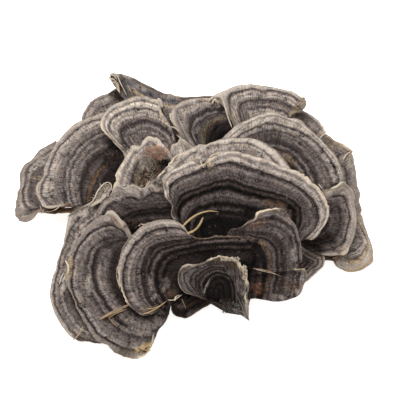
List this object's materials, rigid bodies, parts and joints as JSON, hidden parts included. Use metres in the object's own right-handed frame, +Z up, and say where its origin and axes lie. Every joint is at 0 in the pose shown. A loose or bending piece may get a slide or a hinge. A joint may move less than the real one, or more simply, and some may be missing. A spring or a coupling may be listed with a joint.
{
  "type": "turkey tail fungus",
  "caption": "Dried bracket fungus: a low open rosette of overlapping thin wavy fans on a common base that is cut flat, with bits of dry grass caught in it.",
  "frame": {"origin": "the middle of the flat cut on the base's underside", "axes": "+Z up, away from the cut; +X across the clump's greatest width; -Y towards the open side of the rosette"},
  "size_m": [0.1505, 0.122, 0.0421],
  "materials": {
    "bracket_taupe": "velvety matt, taupe grey zones with a pale rim",
    "bracket_pale": "velvety matt, pale grey and cream",
    "bracket_dark": "velvety matt, grey rim and near black inner zones",
    "bracket_brown": "velvety matt, grey rim and brown inner zones",
    "base": "rough, greenish black",
    "litter": "reddish plant fibre",
    "grass": "dry straw"
  },
  "bodies": {
    "root": {"attachment_base": "base", "bracket_bottom_dark": "bracket_dark", "bracket_far_left": "bracket_pale", "bracket_lower_left_back": "bracket_taupe", "bracket_behind_left": "bracket_taupe", "bracket_behind_right": "bracket_dark", "bracket_right_back": "bracket_pale", "bracket_top_curled": "bracket_pale", "bracket_right_edge": "bracket_pale", "bracket_far_right": "bracket_pale", "bracket_small_right": "bracket_dark", "bracket_right": "bracket_taupe", "bracket_top_right": "bracket_taupe", "bracket_top_middle": "bracket_dark", "bracket_left": "bracket_dark", "bracket_upper_left": "bracket_taupe", "bracket_small_crumpled": "bracket_pale", "bracket_small_ruffled": "bracket_pale", "bracket_right_large": "bracket_taupe", "bracket_lower_left": "bracket_taupe", "bracket_middle_left": "bracket_dark", "bracket_middle_upper": "bracket_dark", "bracket_middle": "bracket_dark", "bracket_front_right": "bracket_brown", "bracket_front_left": "bracket_brown", "bracket_front_small": "bracket_pale", "litter_tuft": "litter", "grass_curl_upper": "grass", "grass_curl_lower": "grass", "grass_stalk_left": "grass", "grass_stalk_corner": "grass", "grass_fibre_front": "grass"}
  },
  "joints": []
}
